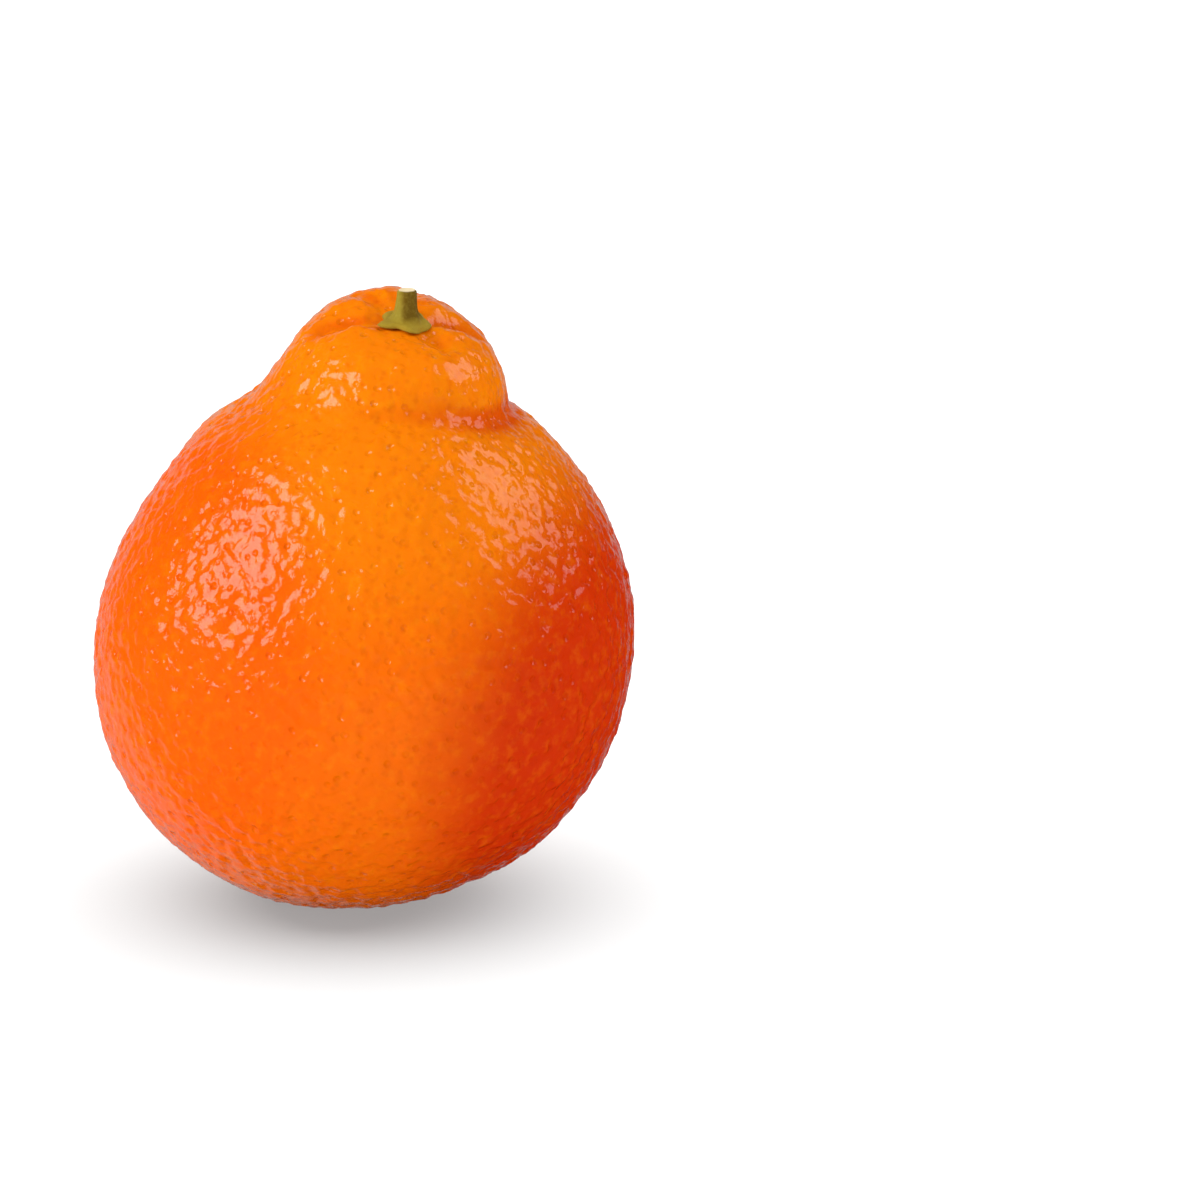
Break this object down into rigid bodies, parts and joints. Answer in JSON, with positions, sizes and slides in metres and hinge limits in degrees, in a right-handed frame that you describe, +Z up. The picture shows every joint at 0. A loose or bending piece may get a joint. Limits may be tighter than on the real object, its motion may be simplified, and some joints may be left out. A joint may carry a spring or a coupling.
{
  "type": "mandarin orange",
  "caption": "Whole necked mandarin orange: round pitted body, folded neck with a shallow well, and a short cut stem on a pointed-lobed calyx.",
  "frame": {"origin": "middle of the small flat spot that the fruit rests on, under the middle of its box", "axes": "+Z up through the neck, +X towards the side the neck leans to, -Y towards the viewer"},
  "size_m": [0.0801, 0.0791, 0.0929],
  "materials": {
    "rind": "waxy, finely pitted",
    "green_bark": "matt, ribbed"
  },
  "bodies": {
    "root": {"fruit": "rind", "stem": "green_bark"}
  },
  "joints": []
}
